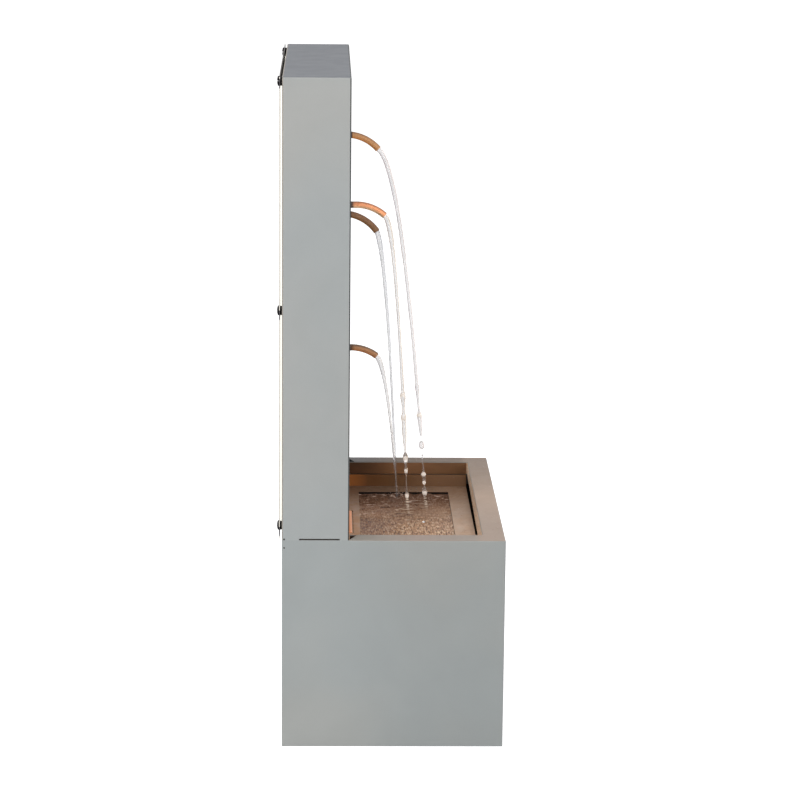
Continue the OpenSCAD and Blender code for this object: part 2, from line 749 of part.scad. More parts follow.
// Plate that closes the chamber: a half-round eye below the shaft's seat, with one spoke
module volute_cover() {
  color([0.2, 0.2, 0.21])
  difference() {
    bar_y(pump_x, pump_front_y, pump_z, chamber_r + 4 - 2 * fit, 3);
    difference() {
      bar_y(pump_x, pump_front_y - e, pump_z, eye_r, 3 + 2 * e);
      bar_y(pump_x, pump_front_y - 2 * e, pump_z, shaft_r + 3.2, 3 + 4 * e);
      translate([pump_x - 1, pump_front_y - 2 * e, pump_z - 2 * eye_r]) cube([2, 3 + 4 * e, 2 * eye_r]);
      translate([pump_x - 2 * eye_r, pump_front_y - 2 * e, pump_z - 1])
        cube([4 * eye_r, 3 + 4 * e, 2 * eye_r]);
    }
    bar_y(pump_x, pump_front_y - e, pump_z, shaft_r + 1.5, 3 + 2 * e);
  }
}

module strainer_slots(width, height, count) {
  pitch = width / count;
  for (k = [0 : count - 1])
    translate([(k - (count - 1) / 2) * pitch - 1, 0, -height / 2]) cube([2, 10, height]);
}

// Strainer: an open-backed box with slots in its face and flanks
module pump_strainer() {
  y0 = pump_front_y - strainer_l;
  inner = pump_w - 2 * strainer_wall;
  color([0.16, 0.16, 0.17])
  difference() {
    translate([pump_x, pump_front_y, pump_z]) rotate([90, 0, 0]) round_plate(pump_w, pump_w, 7, strainer_l);
    translate([pump_x, pump_front_y + e, pump_z]) rotate([90, 0, 0])
      round_plate(inner, inner, 7 - strainer_wall, strainer_l - strainer_wall + e);
    difference() {
      translate([pump_x, y0 - e, pump_z]) strainer_slots(pump_w - 8, pump_w - 16, 9);
      bar_y(pump_x, y0 - 2 * e, pump_z, dial_r + 3, 12);
    }
    for (s = [-1, 1])
      translate([pump_x + s * pump_w / 2 - 5, y0 + 5, pump_z - pump_w / 2 + 8])
        for (k = [0 : 6]) translate([0, 0, 5.2 * k]) cube([10, strainer_l - 9, 2]);
    bar_y(pump_x, y0 - e, pump_z, 3 + fit, strainer_wall + 2 * e);
  }
}

// Rotor: a magnet and a vaned impeller on one hub, turning on the fixed shaft
module pump_rotor() {
  vane_l = pump_y - pump_front_y - 3 - 2.5;
  color([0.75, 0.75, 0.72])
  difference() {
    union() {
      bar_y(pump_x, pump_y + 1.5, pump_z, magnet_r, 32);
      bar_y(pump_x, pump_y - 2, pump_z, 5, 4);
      bar_y(pump_x, pump_y - 2.4, pump_z, impeller_r, 1.4);
      bar_y(pump_x, pump_front_y + 4, pump_z, 3.6, vane_l);
      for (k = [0 : vane_count - 1])
        rotate_about_axis(360 / vane_count * k) vane(vane_l);
    }
    bar_y(pump_x, pump_front_y, pump_z, shaft_r + fit, pump_l);
  }
}

// One backward-curved vane: a quarter of a thin ring that starts square to the hub
module vane(len) {
  curve_r = 8.5;
  intersection() {
    translate([pump_x + 3, pump_front_y + 4, pump_z - curve_r]) rotate([-90, 0, 0])
      ring(curve_r + 0.6, curve_r - 0.6, len);
    bar_y(pump_x, pump_front_y + 4 - e, pump_z, impeller_r - 0.4, len + 2 * e);
    translate([pump_x + 2.5, pump_front_y, pump_z - curve_r]) cube([14, 30, curve_r + 2]);
  }
}

module rotor_shaft() {
  color([0.92, 0.92, 0.9])
  bar_y(pump_x, pump_front_y + 0.5, pump_z, shaft_r, pump_y + 41 - pump_front_y);
}

// Rubber seats at both ends of the shaft
module shaft_bushes() {
  color(black_rubber)
  for (p = [[pump_front_y, 3], [pump_y + 37, 5]])
    difference() {
      bar_y(pump_x, p[0], pump_z, shaft_r + 1.5 - fit, p[1]);
      bar_y(pump_x, p[0] - e, pump_z, shaft_r + fit, p[1] + 2 * e);
    }
}

// Flow dial: a ribbed knob outside the strainer and a half-disc shutter inside it
module flow_dial() {
  y0 = pump_front_y - strainer_l;
  color([0.3, 0.32, 0.34])
  union() {
    difference() {
      bar_y(pump_x, y0 - dial_h - 0.3, pump_z, dial_r, dial_h);
      for (k = [0 : 11])
        rotate_about_axis(30 * k)
          bar_y(pump_x + dial_r + 0.5, y0 - dial_h - 0.3 - e, pump_z, 1.2, dial_h - 1.5 + e);
    }
    translate([pump_x - 1, y0 - dial_h - 1.3, pump_z]) cube([2, 1.5, dial_r - 1]);
    bar_y(pump_x, y0 - 0.8, pump_z, 3, strainer_l - 0.7);
    intersection() {
      bar_y(pump_x, pump_front_y - 2, pump_z, eye_r + 2, 1.5);
      translate([pump_x - 15, pump_front_y - 3, pump_z - 1]) cube([30, 5, 15]);
    }
  }
}

// Suction feet: a flared cup on a peg that fits the body's socket
module suction_feet() {
  color(black_rubber)
  for (x = [-1, 1], y = [0, 1])
    translate([pump_x + x * (pump_w / 2 - 9), pump_front_y + 9 + y * (pump_l - 18), floor_t])
      rotate_extrude() polygon([[0, 2.5], [3, 2], [7.2, 0], [8, 0], [8, 0.6], [4, 3.4], [3.4, foot_h],
        [2.5, foot_h], [2.5, foot_h + 5], [0, foot_h + 5]]);
}

// Grommet where the pump's lead leaves through the basin's back wall, above the water
module cord_grommet() {
  color(black_rubber)
  translate([cord_x, back_y, cord_z]) rotate([-90, 0, 0])
    difference() {
      union() {
        translate([0, 0, -sheet_t]) cylinder(r = cord_bore_r + 2 - fit, h = sheet_t);
        cylinder(r = cord_bore_r + 4, h = 2);
        translate([0, 0, -sheet_t - 2]) cylinder(r = cord_bore_r + 4, h = 2);
      }
      translate([0, 0, -sheet_t - 2 - e]) cylinder(r = cord_bore_r, h = sheet_t + 4 + 2 * e);
    }
}

basin_shell();
basin_floor();
tray_ledges();
tower_shell();
rear_panel();
panel_screws();
panel_spacers();
panel_seals();
clinch_nuts();
splash_tray();
spout_1();
spout_2();
spout_3();
spout_4();
spout_grommets();
light_housing();
light_leds();
light_lens();
light_screws();
manifold();
manifold_clips();
branch_hoses();
riser_hose();
hose_clamps();
pump_housing();
volute_cover();
pump_strainer();
pump_rotor();
rotor_shaft();
shaft_bushes();
flow_dial();
suction_feet();
cord_grommet();
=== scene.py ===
"""Looks of the column fountain, around its CAD frame: materials, water, drops, lights, camera."""

import math
import random
from collections import namedtuple

import bpy
from mathutils import Matrix, Vector, noise


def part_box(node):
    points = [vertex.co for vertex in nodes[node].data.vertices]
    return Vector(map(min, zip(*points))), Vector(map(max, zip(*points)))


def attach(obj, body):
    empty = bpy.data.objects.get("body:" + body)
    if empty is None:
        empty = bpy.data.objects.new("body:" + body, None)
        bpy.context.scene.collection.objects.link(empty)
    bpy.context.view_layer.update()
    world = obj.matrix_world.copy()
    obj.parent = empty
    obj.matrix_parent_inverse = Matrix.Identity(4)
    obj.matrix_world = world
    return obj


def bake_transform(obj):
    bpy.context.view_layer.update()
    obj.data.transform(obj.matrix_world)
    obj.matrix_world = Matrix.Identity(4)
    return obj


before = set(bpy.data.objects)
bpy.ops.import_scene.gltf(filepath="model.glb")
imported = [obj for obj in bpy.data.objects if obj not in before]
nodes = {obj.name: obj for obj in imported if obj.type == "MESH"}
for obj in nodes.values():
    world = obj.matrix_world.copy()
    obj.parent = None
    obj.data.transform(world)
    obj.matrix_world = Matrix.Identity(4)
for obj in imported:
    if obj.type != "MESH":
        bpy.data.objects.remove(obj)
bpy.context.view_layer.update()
scene = bpy.context.scene

MM = 0.001
GRAVITY = 9.81
UP = (0, 0, 1)

# The fountain's measures that the looks need, in metres
BASIN_LOW, BASIN_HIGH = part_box("basin_shell")
TRAY_LOW, TRAY_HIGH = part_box("splash_tray")
TOWER_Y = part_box("tower_shell")[0].y
RIM_Z = BASIN_HIGH.z
HALF_W = BASIN_HIGH.x
FRONT_Y = BASIN_LOW.y
BACK_Y = -FRONT_Y
RIM_W = 25.5 * MM
OPEN_X = HALF_W - RIM_W
OPEN_FRONT_Y = FRONT_Y + RIM_W
TRAY_TOP = RIM_Z - 31.5 * MM
TRAY_WALL = 1.2 * MM
WINDOW_X = 148 * MM
WINDOW_Y = -76 * MM
WATER_Z = 211 * MM
SCREW_Z = (760.5 * MM, 503.5 * MM, 255 * MM)

# A spout: x, height at the tower's face, slopes of its tail and its mouth, straight length before
# the bend, forward speed of its water in m/s, and the slope at which the water leaves
Spout = namedtuple("Spout", "x height tail end lead speed slope")
BEND_R = 52 * MM
SPOUTS = (
    Spout(135.5, 664.5, 8, 48.5, 4.0, 0.219, 34),
    Spout(124.5, 580.0, 0, 41.5, 9.5, 0.118, 32),
    Spout(135.5, 567.0, 12, 54.5, 3.2, 0.116, 66),
    Spout(124.5, 402.7, 0, 37, 4.1, 0.156, 45),
)


def linear(r, g, b):
    """A colour picked as 0 to 255, in the linear values that shaders use."""
    def one(v):
        v /= 255
        return v / 12.92 if v <= 0.04045 else ((v + 0.055) / 1.055) ** 2.4

    return (one(r), one(g), one(b), 1)


# ------------------------------------------------------------------ materials


class Paint:
    """One material: adds shader nodes and links them to the Principled shader."""

    def __init__(self, name, color, roughness, metallic=0.0, specular=0.5):
        self.mat = bpy.data.materials.new(name)
        self.mat.use_nodes = True
        self.tree = self.mat.node_tree
        self.shader = self.tree.nodes["Principled BSDF"]
        self.set("Base Color", color)
        self.set("Roughness", roughness)
        self.set("Metallic", metallic)
        self.set("Specular IOR Level", specular)
        coord = self.tree.nodes.new("ShaderNodeTexCoord")
        self.place = coord.outputs["Object"]
        self.facing = coord.outputs["Normal"]
        self._axes = {}

    def set(self, socket, value):
        self.shader.inputs[socket].default_value = value

    def link(self, output, socket):
        self.tree.links.new(output, self.shader.inputs[socket])

    def _feed(self, node, index, value):
        if isinstance(value, bpy.types.NodeSocket):
            self.tree.links.new(value, node.inputs[index])
        else:
            node.inputs[index].default_value = value

    def axis(self, index, source=None):
        """X, Y or Z (0, 1, 2) of a vector output, by default the place on the object."""
        source = source or self.place
        key = (source.name, source.node.name)
        if key not in self._axes:
            split = self.tree.nodes.new("ShaderNodeSeparateXYZ")
            self.tree.links.new(source, split.inputs[0])
            self._axes[key] = split
        return self._axes[key].outputs[index]

    def math(self, operation, a, b=0.0):
        node = self.tree.nodes.new("ShaderNodeMath")
        node.operation = operation
        self._feed(node, 0, a)
        self._feed(node, 1, b)
        return node.outputs[0]

    def times(self, a, b):
        return self.math("MULTIPLY", a, b)

    def away(self, value, place=None):
        """How far value is from a place, or from 0."""
        if place is not None:
            value = self.math("SUBTRACT", value, place)
        return self.math("ABSOLUTE", value)

    def span(self, value, low, high, to_low=0.0, to_high=1.0):
        """value from low to high, mapped smoothly onto to_low to to_high."""
        node = self.tree.nodes.new("ShaderNodeMapRange")
        node.interpolation_type = "SMOOTHSTEP"
        for index, v in enumerate((value, low, high, to_low, to_high)):
            self._feed(node, index, v)
        return node.outputs[0]

    def noise(self, scale, detail=3.0, rough=0.55, stretch=(1, 1, 1), warp=0.0):
        shift = self.tree.nodes.new("ShaderNodeMapping")
        shift.inputs["Scale"].default_value = stretch
        self.tree.links.new(self.place, shift.inputs[0])
        node = self.tree.nodes.new("ShaderNodeTexNoise")
        self.tree.links.new(shift.outputs[0], node.inputs["Vector"])
        node.inputs["Scale"].default_value = scale
        node.inputs["Detail"].default_value = detail
        node.inputs["Roughness"].default_value = rough
        node.inputs["Distortion"].default_value = warp
        return node.outputs["Fac"]

    def cells(self, scale):
        node = self.tree.nodes.new("ShaderNodeTexVoronoi")
        self.tree.links.new(self.place, node.inputs["Vector"])
        node.inputs["Scale"].default_value = scale
        return node.outputs["Distance"]

    def ramp(self, value, stops):
        """A colour that follows value through (place, colour) stops."""
        node = self.tree.nodes.new("ShaderNodeValToRGB")
        ramp = node.color_ramp
        while len(ramp.elements) < len(stops):
            ramp.elements.new(0.5)
        for element, (place, color) in zip(ramp.elements, stops):
            element.position = place
            element.color = color
        self.tree.links.new(value, node.inputs[0])
        return node.outputs[0]

    def mix(self, a, b, factor, blend="MIX"):
        node = self.tree.nodes.new("ShaderNodeMix")
        node.data_type = "RGBA"
        node.blend_type = blend
        self._feed(node, 0, factor)
        self._feed(node, 6, a)
        self._feed(node, 7, b)
        return node.outputs[2]

    def tint(self, color, by, factor):
        """color multiplied by another one, as far as factor says."""
        return self.mix(color, by, factor, "MULTIPLY")

    def shade(self, color, value, low, high):
        """color multiplied by a grey that follows value from low to high."""
        grey = self.ramp(value, [(0.3, (low, low, low, 1)), (0.7, (high, high, high, 1))])
        return self.tint(color, grey, 1.0)

    def bump(self, height, distance, strength=1.0):
        node = self.tree.nodes.new("ShaderNodeBump")
        node.inputs["Distance"].default_value = distance
        node.inputs["Strength"].default_value = strength
        self.tree.links.new(height, node.inputs["Height"])
        self.link(node.outputs[0], "Normal")

    def vary_roughness(self, value, low, high):
        self.link(self.span(value, 0.3, 0.7, low, high), "Roughness")


def powder_coat(name, color, roughness=0.5, specular=0.35):
    """Satin powder coat: orange peel, faint clouding and fine speckle. Returns the open Paint."""
    p = Paint(name, color, roughness, specular=specular)
    clouds = p.noise(9, 3, 0.6, warp=0.4)
    speck = p.noise(1500, 1)
    warmer = (color[0] * 1.04, color[1], color[2] * 0.97, 1)
    body = p.mix(color, warmer, p.span(p.noise(4.5, 2), 0.35, 0.65))
    p.color = p.shade(p.shade(body, clouds, 0.965, 1.03), speck, 0.985, 1.012)
    p.link(p.color, "Base Color")
    p.vary_roughness(p.noise(40, 4), roughness - 0.03, roughness + 0.03)
    p.bump(p.noise(700, 2, 0.5), 0.00006, 0.35)
    return p


def tower_material():
    """Grey, with a lid painted darker as painted shade, bends painted as a pale highlight at the rear
    and a dark shade line at the front, and a stained foot in the basin.
    """
    p = powder_coat("tower_coat", linear(171, 175, 175), specular=0.1)
    face_y, face_z = p.axis(1, p.facing), p.axis(2, p.facing)
    # the lid is painted a little bluer and darker than the sides, as painted shade and sky light
    lid_shade = p.times(p.span(face_z, 0.4, 0.95), 0.97)
    color = p.mix(p.color, linear(115, 118, 124), lid_shade)
    # the rear bends are painted as a warmer line, a painted highlight, and the front ones as a dark line
    # of painted shade
    rear_bend_highlight = p.times(p.span(face_y, 0.15, 0.6), 0.8)
    color = p.mix(color, linear(172, 163, 152), rear_bend_highlight)
    front_bend_shade = p.times(p.span(face_y, -0.1, -0.45), p.span(face_y, -0.995, -0.93))
    color = p.mix(color, linear(60, 62, 62), p.times(front_bend_shade, 0.95))
    # the front face is stained where it stands in the basin
    low = p.span(p.axis(2), RIM_Z - 1 * MM, RIM_Z - 9 * MM)
    stained = p.times(p.span(face_y, -0.9, -0.99), low)
    p.link(p.mix(color, linear(150, 116, 86), stained), "Base Color")
    return p.mat


def rim_color(p):
    """The rim's coat warms towards the front and is darker near the tower, as painted warm light and
    painted shade, and the far side is painted darker than the near as painted shade.
    """
    x, y = p.axis(0), p.axis(1)
    forward = p.span(y, TOWER_Y, FRONT_Y + 20 * MM)
    far = p.ramp(forward, [
        (0.0, linear(92, 86, 88)),
        (0.3, linear(110, 94, 81)),
        (1.0, linear(128, 111, 99)),
    ])
    near = p.ramp(forward, [
        (0.0, linear(154, 146, 136)),
        (0.5, linear(170, 151, 140)),
        (1.0, linear(164, 151, 141)),
    ])
    # the front flange is painted lightest in the middle and darker at the far end, as painted light and
    # shade
    front = p.ramp(p.span(x, -HALF_W, HALF_W), [
        (0.0, linear(178, 158, 144)),
        (0.5, linear(200, 174, 154)),
        (1.0, linear(153, 133, 118)),
    ])
    sides = p.mix(near, far, p.span(x, -100 * MM, 100 * MM))
    rim = p.mix(sides, front, p.span(y, OPEN_FRONT_Y + 12 * MM, OPEN_FRONT_Y))
    wet = p.span(p.noise(60, 4, 0.65), 0.42, 0.62)
    return p.mix(rim, p.tint(rim, (0.75, 0.7, 0.64, 1), 1.0), p.times(wet, 0.18))


def inner_brown_light_and_shade(p):
    """Brown of the lips and walls inside the basin, with painted shade towards the tower and a front lip
    painted pale as painted light.
    """
    y = p.axis(1)
    # darker towards the tower, as painted shade
    brown_light_and_shade = p.ramp(p.span(y, TOWER_Y, FRONT_Y + 20 * MM), [
        (0.0, linear(80, 50, 28)),
        (0.35, linear(156, 110, 74)),
        (1.0, linear(128, 92, 62)),
    ])
    # the front lip is painted pale, as painted light on it
    patches = p.span(p.noise(260, 3, 0.6), 0.45, 0.62)
    front_lip_lit = p.mix(linear(255, 236, 212), linear(250, 212, 180), patches)
    brown_light_and_shade = p.mix(brown_light_and_shade, front_lip_lit, p.span(y, OPEN_FRONT_Y + 2 * MM, OPEN_FRONT_Y + 0.4 * MM))
    return p.shade(brown_light_and_shade, p.noise(30, 5, 0.7, (1, 1, 3)), 0.85, 1.12)


def basin_material():
    """Grey outside, with a warmer rim, and brown inside."""
    p = powder_coat("basin_coat", linear(162, 167, 167))
    x, y, z = (p.axis(i) for i in range(3))
    # the sides are painted darker towards the front, as painted shade
    front_shade = p.tint(p.color, (0.9, 0.9, 0.9, 1), 1.0)
    outside = p.mix(p.color, front_shade, p.span(y, 90 * MM, -60 * MM))
    up = p.span(p.axis(2, p.facing), 0.5, 0.95)
    on_rim = p.times(up, p.span(z, RIM_Z - 1.0 * MM, RIM_Z - 0.4 * MM))
    color = p.mix(outside, rim_color(p), on_rim)
    # everything inside the rim opening, below the flange
    between = p.span(p.away(x), OPEN_X + 2.2 * MM, OPEN_X + 1.0 * MM)
    behind = p.span(y, OPEN_FRONT_Y - 2.2 * MM, OPEN_FRONT_Y - 1.0 * MM)
    below = p.span(z, RIM_Z - 0.4 * MM, RIM_Z - 1.4 * MM)
    within = p.span(y, BACK_Y - 0.2 * MM, BACK_Y - 1.0 * MM)
    inside = p.times(p.times(between, behind), p.times(below, within))
    p.link(p.mix(color, inner_brown_light_and_shade(p), inside), "Base Color")
    return p.mat


def tray_material():
    """The tray's coat, brown: painted darker at the far side as painted shade, and with a painted warm
    glow by the light bar.
    """
    p = powder_coat("tray_coat", linear(168, 136, 108), 0.42)
    x, y, z = (p.axis(i) for i in range(3))
    across = p.span(x, -50 * MM, OPEN_X)
    forward = p.span(y, TOWER_Y, OPEN_FRONT_Y)
    # the deck is painted darker across to the far side, as painted shade
    near = p.mix(linear(200, 147, 100), linear(216, 182, 153), forward)
    far = p.mix(linear(116, 90, 72), linear(160, 128, 104), forward)
    deck = p.shade(p.mix(near, far, across), p.noise(35, 5, 0.7), 0.9, 1.08)
    # the upstands are painted with a warm glow from the light bar at the tower end, as painted light,
    # then painted shade that pales towards the front
    wall = p.ramp(forward, [
        (0.0, linear(176, 108, 54)),
        (0.08, linear(122, 80, 44)),
        (0.4, linear(129, 92, 60)),
        (1.0, linear(156, 119, 89)),
    ])
    sideways = p.span(p.away(p.axis(0, p.facing)), 0.4, 0.9)
    color = p.mix(deck, wall, p.times(sideways, p.span(z, TRAY_TOP, TRAY_TOP + 1 * MM)))
    # under the plate the hem is painted dark, as painted shade
    under = p.span(z, TRAY_TOP - 0.2 * MM, TRAY_TOP - 0.9 * MM)
    p.link(p.mix(color, linear(24, 14, 9), under), "Base Color")
    p.vary_roughness(p.noise(90, 4), 0.3, 0.5)
    return p.mat


def panel_material():
    """Grey faces and a bare cut edge, with painted shade on the edge beside each screw and along the
    top.
    """
    p = powder_coat("panel_coat", linear(167, 171, 171))
    edge = p.shade(linear(242, 236, 226), p.noise(400, 3, 0.6, (1, 1, 0.1)), 0.94, 1.03)
    # painted shade on the edge beside each screw
    for height in SCREW_Z:
        beside = p.span(p.away(p.axis(2), height), 5.8 * MM, 4.8 * MM)
        edge = p.mix(edge, linear(70, 66, 70), beside)
    # painted shade on the top edge, where it faces up
    edge = p.mix(edge, linear(58, 44, 42), p.span(p.axis(2, p.facing), 0.4, 0.9))
    flat = p.span(p.away(p.axis(1, p.facing)), 0.5, 0.9)
    p.link(p.mix(edge, p.color, flat), "Base Color")
    return p.mat


def metal(name, color, roughness, tarnish=None):
    """Bare metal with a fine grain and, with a second colour, patches of tarnish."""
    p = Paint(name, color, roughness, metallic=1.0)
    grain = p.noise(300, 4, 0.6)
    body = p.shade(color, grain, 0.9, 1.06)
    if tarnish:
        patches = p.span(p.noise(55, 5, 0.65, warp=0.6), 0.45, 0.75)
        body = p.mix(body, tarnish, p.times(patches, 0.5))
    p.link(body, "Base Color")
    p.vary_roughness(p.noise(120, 4), roughness - 0.08, roughness + 0.1)
    p.bump(grain, 0.00002, 0.4)
    return p.mat


def copper(name, side, under, top, root_shade, reach, metallic):
    """Aged copper tube, painted darker on top and lighter underneath as painted shade and light, and
    dark where it leaves the grommet as painted shade.
    """
    p = Paint(name, side, 0.6, metallic=metallic, specular=0.1)
    draw = p.noise(700, 3, 0.6, (1, 0.12, 1))
    face_z = p.axis(2, p.facing)
    # the underside is painted lighter and the top darker, as painted light and shade
    body = p.mix(side, under, p.span(face_z, 0.05, -0.55))
    body = p.mix(body, top, p.span(face_z, 0.2, 0.95))
    spots = p.span(p.noise(160, 4, 0.6), 0.5, 0.72)
    body = p.mix(body, top, p.times(spots, 0.25))
    # painted shade near the root, where the tower shades the tube
    root_shade_mask = p.span(p.axis(1), TOWER_Y - reach, TOWER_Y - 3.4 * MM)
    p.link(p.mix(p.shade(body, draw, 0.94, 1.04), root_shade, root_shade_mask), "Base Color")
    p.vary_roughness(p.noise(120, 4), 0.54, 0.68)
    p.bump(draw, 0.00002, 0.3)
    return p.mat


def moulded(name, color, roughness=0.45, texture=350.0):
    """Moulded plastic: spark-eroded texture and slight flow marks."""
    p = Paint(name, color, roughness, specular=0.45)
    p.link(p.shade(color, p.noise(30, 4, 0.6, warp=1.0), 0.88, 1.1), "Base Color")
    p.vary_roughness(p.noise(80, 3), roughness - 0.06, roughness + 0.08)
    p.bump(p.noise(texture * 4, 2), 0.00004, 0.5)
    return p.mat


def black_screw():
    """Blackened steel with a dull, slightly worn oxide."""
    p = Paint("black_screw", linear(16, 16, 19), 0.55, specular=0.015)
    worn = p.times(p.span(p.noise(900, 4, 0.7), 0.56, 0.72), 0.5)
    p.link(p.mix(linear(14, 14, 17), linear(46, 44, 44), worn), "Base Color")
    p.vary_roughness(p.noise(300, 3), 0.48, 0.66)
    p.bump(p.noise(1500, 3), 0.00003, 0.4)
    return p.mat


def rubber(name, color):
    """Dull, mottled rubber."""
    p = Paint(name, color, 0.7, specular=0.3)
    p.link(p.shade(color, p.noise(150, 4), 0.75, 1.3), "Base Color")
    p.bump(p.noise(900, 3), 0.00008, 0.5)
    return p.mat


def foam(name, color, glow):
    """White foam tape. It is given a glow of painted light, so that it reads bright in its narrow gap.
    """
    p = Paint(name, color, 0.85, specular=0.2)
    pores = p.cells(900)
    p.link(p.shade(color, pores, 0.9, 1.02), "Base Color")
    p.link(p.shade(color, pores, 0.95, 1.02), "Emission Color")
    p.set("Emission Strength", glow)
    p.bump(pores, 0.0002, 0.4)
    return p.mat


def vinyl(name):
    """Clear hose, slightly cloudy and yellowed."""
    color = (0.86, 0.88, 0.84, 1)
    yellowed = (0.8, 0.8, 0.68, 1)
    p = Paint(name, color, 0.18, specular=0.5)
    p.set("Transmission Weight", 0.75)
    p.set("IOR", 1.5)
    p.link(p.mix(color, yellowed, p.span(p.noise(40, 3), 0.4, 0.7)), "Base Color")
    p.vary_roughness(p.noise(100, 3), 0.12, 0.3)
    return p.mat


WATER_IOR = 1.333


def clear_water(name, color, roughness):
    """Clear water of drops and beads, slightly uneven."""
    p = Paint(name, color, roughness, specular=0.5)
    p.set("Transmission Weight", 1.0)
    p.set("IOR", WATER_IOR)
    dimmer = (color[0] * 0.9, color[1] * 0.88, color[2] * 0.9, 1)
    p.link(p.mix(color, dimmer, p.span(p.noise(160, 2), 0.5, 0.75)), "Base Color")
    p.bump(p.noise(260, 2), 0.0003, 0.25)
    return p.mat


def stream_water(name, away, back, beads):
    """Water of a jet: half clear, half milky with air, painted paler on its side away from the tower and
    greyer towards it as painted light and shade, and white with a glow in its beads as painted
    highlights (heights in mm).
    """
    pale = (0.96, 0.96, 0.97, 1)
    top_clear, low_clear = 0.62, 0.86
    p = Paint(name, pale, 0.08, specular=0.5)
    p.set("Transmission Weight", top_clear)
    p.set("IOR", 1.2)
    threads = p.noise(60, 1, stretch=(1, 1, 0.25))
    wander = p.times(p.math("SUBTRACT", threads, 0.5), 0.6)
    # the side away from the tower is painted paler and the side towards it greyer, as painted light and
    # shade
    side = p.math("ADD", p.axis(1, p.facing), wander)
    color = p.mix(pale, back, p.span(side, 0.3, 0.85))
    color = p.mix(color, away, p.span(side, -0.1, -0.7))
    clear = p.span(p.axis(2), RIM_Z + 40 * MM, RIM_Z, top_clear, low_clear)
    glint = None
    # the beads are painted white, and glow a little, as painted highlights
    for height in beads:
        bright = p.span(p.away(p.axis(2), height * MM), 3.2 * MM, 0.8 * MM)
        color = p.mix(color, linear(255, 252, 248), bright)
        clear = p.times(clear, p.math("SUBTRACT", 1.0, p.times(bright, 0.75)))
        glint = bright if glint is None else p.math("MAXIMUM", glint, bright)
    if glint is not None:
        p.set("Emission Color", linear(255, 238, 222))
        p.link(p.times(glint, 0.22), "Emission Strength")
    p.link(color, "Base Color")
    p.link(clear, "Transmission Weight")
    p.vary_roughness(threads, 0.04, 0.14)
    return p.mat


def pool_water(name, landings):
    """The basin's surface: brown from its walls, long ripples far off and fine glitter near by."""
    p = Paint(name, linear(150, 112, 86), 0.16, specular=0.05)
    p.set("IOR", WATER_IOR)
    x, y = p.axis(0), p.axis(1)
    toward = p.span(x, 150 * MM, -140 * MM)
    fine = p.noise(520, 2, 0.6, (0.22, 1, 1))
    broad = p.noise(105, 3, 0.6, (1, 0.5, 1), warp=1.2)
    body = p.ramp(toward, [
        (0.0, linear(112, 80, 60)),
        (0.3, linear(162, 118, 86)),
        (0.7, linear(192, 142, 100)),
        (1.0, linear(192, 137, 86)),
    ])
    # towards the front the water is greyer
    front = p.times(p.span(y, -10 * MM, -75 * MM, 0.0, 0.75), p.span(x, 120 * MM, 50 * MM))
    body = p.mix(body, linear(196, 154, 124), front)
    light = p.mix(linear(228, 194, 170), linear(255, 230, 188), toward)
    dark = p.mix(linear(44, 26, 16), linear(84, 50, 28), toward)
    ripple = p.mix(body, light, p.span(broad, 0.57, 0.68))
    ripple = p.mix(ripple, dark, p.span(broad, 0.42, 0.32))
    grain = p.mix(body, light, p.span(fine, 0.53, 0.64))
    grain = p.mix(grain, dark, p.span(fine, 0.47, 0.37))
    color = p.mix(ripple, grain, p.span(toward, 0.1, 0.75, 0.15, 0.8))
    # the near half is painted browner beside the tower, as painted shade, and the rest paler and bluer,
    # as painted sky reflection
    beside, close = p.span(y, -22 * MM, 16 * MM), p.span(x, 45 * MM, -10 * MM)
    middle = p.times(p.span(x, 108 * MM, 70 * MM), p.span(x, 15 * MM, 45 * MM))
    color = p.tint(color, (1.15, 1.14, 1.16, 1), close)
    color = p.tint(color, (0.64, 0.56, 0.52, 1), p.times(beside, close))
    color = p.tint(color, (1.3, 1.34, 1.44, 1), p.times(beside, middle))
    color = p.tint(color, (1.05, 1.1, 1.2, 1), p.span(x, 60 * MM, 90 * MM))
    # a broken reflection of the two strongest jets runs through their landings, and fades on
    # the near side
    for land in landings[:2]:
        in_line = p.span(p.away(y, land.y), 2.4 * MM, 0.8 * MM)
        reach = p.times(p.span(x, land.x - 85 * MM, land.x - 20 * MM), p.span(broad, 0.47, 0.56))
        color = p.mix(color, linear(255, 232, 208), p.times(in_line, reach))
    # under the tray it lies in the dark
    under = p.span(p.away(x), WINDOW_X - 3 * MM, WINDOW_X - 1 * MM)
    under = p.math("MAXIMUM", under, p.span(y, WINDOW_Y - 1 * MM, WINDOW_Y - 3 * MM))
    p.link(p.mix(color, linear(14, 8, 5), under), "Base Color")
    p.bump(p.math("ADD", p.times(fine, 0.35), p.times(broad, 0.9)), 0.0009, 0.5)
    return p.mat


def glowing(name, color, glow, strength):
    """Frosted plastic that is lit from behind."""
    p = Paint(name, color, 0.4)
    frost = p.noise(500, 3)
    p.link(p.shade(color, frost, 0.9, 1.08), "Base Color")
    p.set("Emission Strength", strength)
    p.link(p.shade(glow, p.noise(60, 2, stretch=(1, 0.1, 0.1)), 0.85, 1.1), "Emission Color")
    p.bump(frost, 0.00005, 0.4)
    return p.mat


